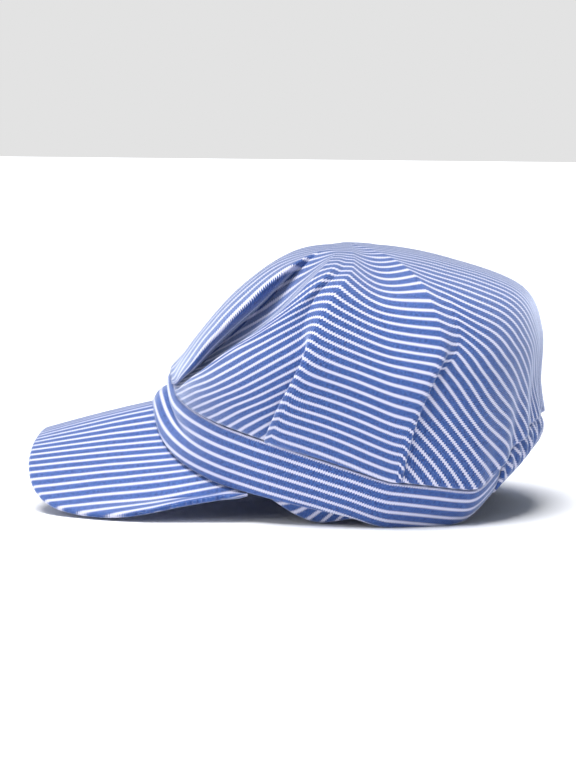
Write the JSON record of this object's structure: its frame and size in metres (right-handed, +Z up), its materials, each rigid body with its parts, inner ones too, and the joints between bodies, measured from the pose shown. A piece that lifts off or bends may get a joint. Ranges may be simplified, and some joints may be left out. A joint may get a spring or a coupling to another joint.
{
  "type": "railroad engineer cap",
  "caption": "Striped cotton railroad engineer cap with a pleated crown, folded side pleats, a stitched band, an arched peak and gathered elastic at the back.",
  "frame": {"origin": "middle of the cap's outer box, on the surface that the cap lies on", "axes": "+Z up, the peak points to -Y, the wearer's left is +X"},
  "size_m": [0.1854, 0.2616, 0.1343],
  "materials": {
    "crown_twill": "matt cotton twill with narrow white stripes",
    "band_twill": "matt cotton twill with narrow white stripes along the band",
    "brim_twill": "matt cotton twill with narrow white stripes over a board",
    "elastic_twill": "gathered matt cotton twill over elastic",
    "facing_twill": "matt cotton twill facing cut on the bias"
  },
  "bodies": {
    "root": {"crown": "crown_twill", "headband": "band_twill", "brim": "brim_twill", "back_elastic": "elastic_twill", "sweatband": "facing_twill"}
  },
  "joints": []
}
